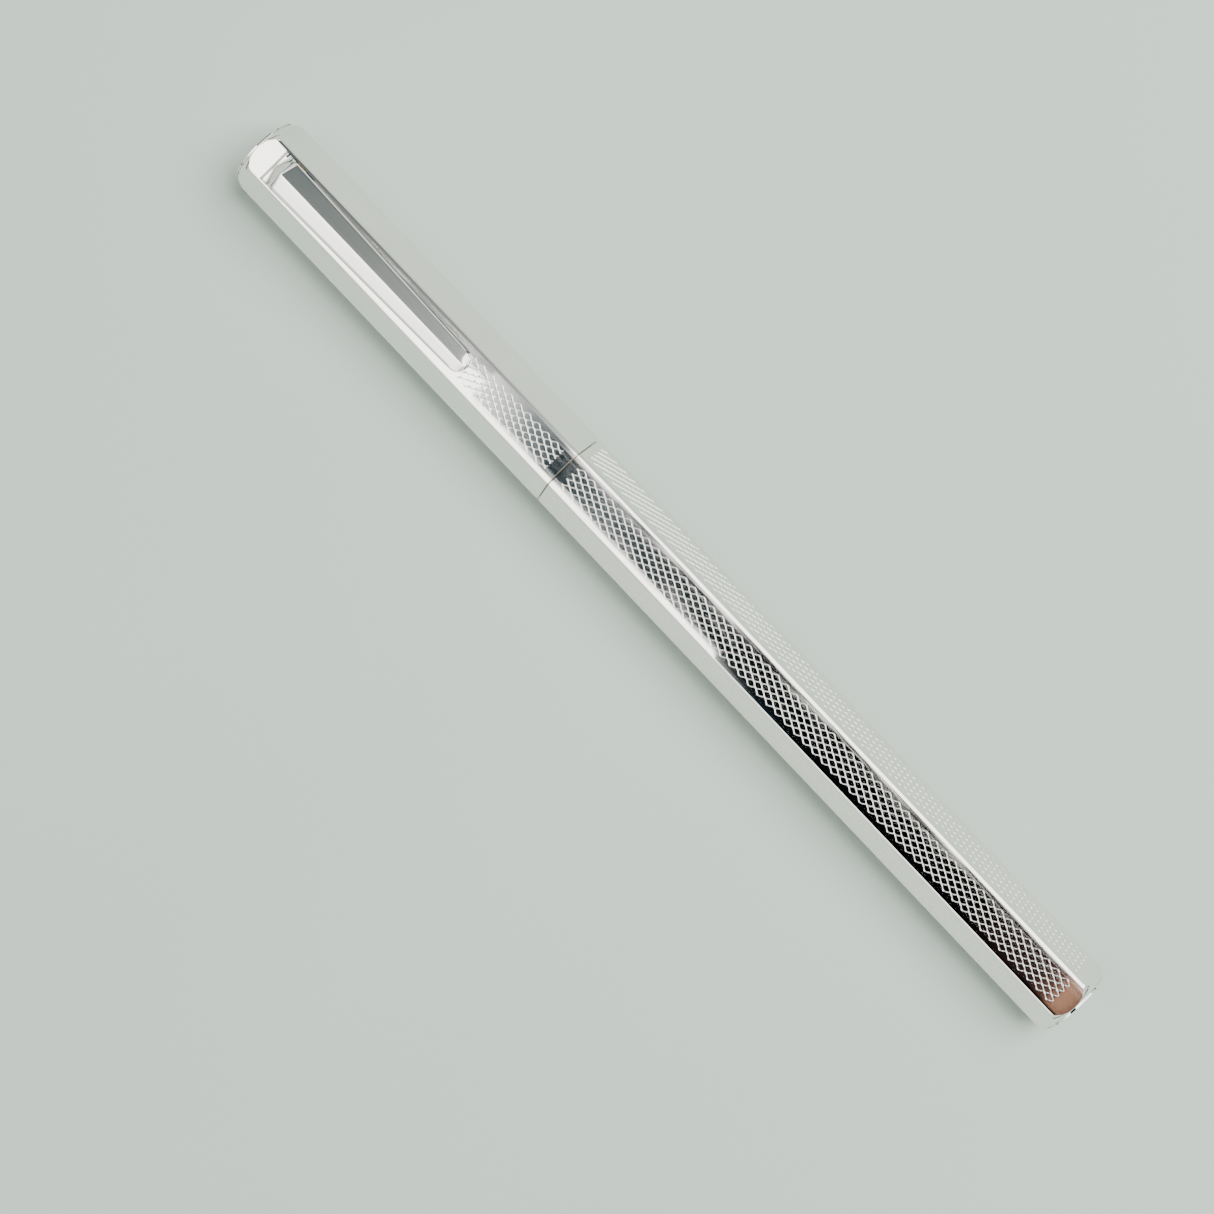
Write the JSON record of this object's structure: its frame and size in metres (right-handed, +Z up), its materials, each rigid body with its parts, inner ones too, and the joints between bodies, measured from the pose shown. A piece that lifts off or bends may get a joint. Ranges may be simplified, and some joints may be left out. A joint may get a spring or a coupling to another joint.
{
  "type": "fountain pen",
  "caption": "Slim hexagonal metal fountain pen, capped, with an engraved barleycorn pattern, a sprung pocket clip, a screw-off barrel and a piston ink converter.",
  "frame": {"origin": "bottom centre of the capped pen's bounding box: the middle of its length, on the facet it lies on", "axes": "+X along the pen from the cap to the barrel's end, +Z up out of the facet that carries the clip, +Y across the pen"},
  "size_m": [0.134, 0.0098, 0.0103],
  "materials": {
    "silver_plate": "polished silver plate, engraved",
    "silver_plate_clip": "polished silver plate",
    "silver_plate_trim": "polished silver plate",
    "silver_plate_section": "polished silver plate",
    "brass": "turned",
    "steel": "turned",
    "spring_steel": "rolled spring steel",
    "nib_steel": "polished stainless steel",
    "black_plastic": "moulded",
    "feed_plastic": "moulded, cut fins",
    "seal_rubber": "moulded",
    "clear_plastic": "clear moulded plastic",
    "chrome_band": "polished",
    "rod_plastic": "moulded",
    "knob_plastic": "moulded, fluted"
  },
  "bodies": {
    "cap": {"cap_shell": "silver_plate", "cap_end_plug": "silver_plate_trim", "clip_carrier": "brass", "clip_pin": "steel", "clip_leaf_spring": "spring_steel", "cap_tie_screw": "steel", "inner_cap": "black_plastic", "clutch_ring": "spring_steel"},
    "clip": {"clip": "silver_plate_clip"},
    "front": {"section": "silver_plate_section", "section_collar": "silver_plate_trim", "threaded_connector": "brass", "feed_housing": "black_plastic", "nib": "nib_steel", "feed": "feed_plastic"},
    "washer": {"joint_washer": "seal_rubber"},
    "barrel_end": {"barrel_end_plug": "silver_plate_trim", "barrel_end_nut": "brass"},
    "barrel": {"barrel_shell": "silver_plate", "barrel_thread_bush": "brass"},
    "converter": {"converter_reservoir": "clear_plastic", "converter_seal": "seal_rubber", "converter_band": "chrome_band", "piston_guide": "black_plastic"},
    "knob": {"converter_knob": "knob_plastic"},
    "piston": {"piston_rod": "rod_plastic", "piston_seal": "seal_rubber"}
  },
  "joints": [
    {"name": "cap_pull", "type": "slide", "parent": "front", "child": "cap", "axis": [-1, 0, 0], "range_m": [0, 0.05]},
    {"name": "clip_flex", "type": "hinge", "parent": "cap", "child": "clip", "pos_m": [-0.0623, 0, 0.00674], "axis": [0, -1, 0], "range_deg": [0, 5], "stiffness_Nm_per_rad": 0.4, "springref_deg": -1.15},
    {"name": "barrel_advance", "type": "slide", "parent": "front", "child": "washer", "axis": [1, 0, 0], "range_m": [0, 0.0045]},
    {"name": "barrel_pull", "type": "slide", "parent": "washer", "child": "barrel_end", "axis": [1, 0, 0], "range_m": [0, 0.072]},
    {"name": "barrel_turn", "type": "hinge", "parent": "barrel_end", "child": "barrel", "pos_m": [0.03, 0, 0.00433], "axis": [1, 0, 0], "range_deg": [0, 2160]},
    {"name": "converter_pull", "type": "slide", "parent": "front", "child": "converter", "axis": [1, 0, 0], "range_m": [0, 0.005]},
    {"name": "knob_turn", "type": "hinge", "parent": "converter", "child": "knob", "pos_m": [0.03, 0, 0.00433], "axis": [1, 0, 0], "range_deg": [0, 3240]},
    {"name": "piston_travel", "type": "slide", "parent": "converter", "child": "piston", "axis": [-1, 0, 0], "range_m": [0, 0.02025]}
  ],
  "couplings": [
    {"joint": "barrel_advance", "follows": "barrel_turn", "m_per_rad": 0.00011937},
    {"joint": "piston_travel", "follows": "knob_turn", "m_per_rad": 0.0003581}
  ]
}
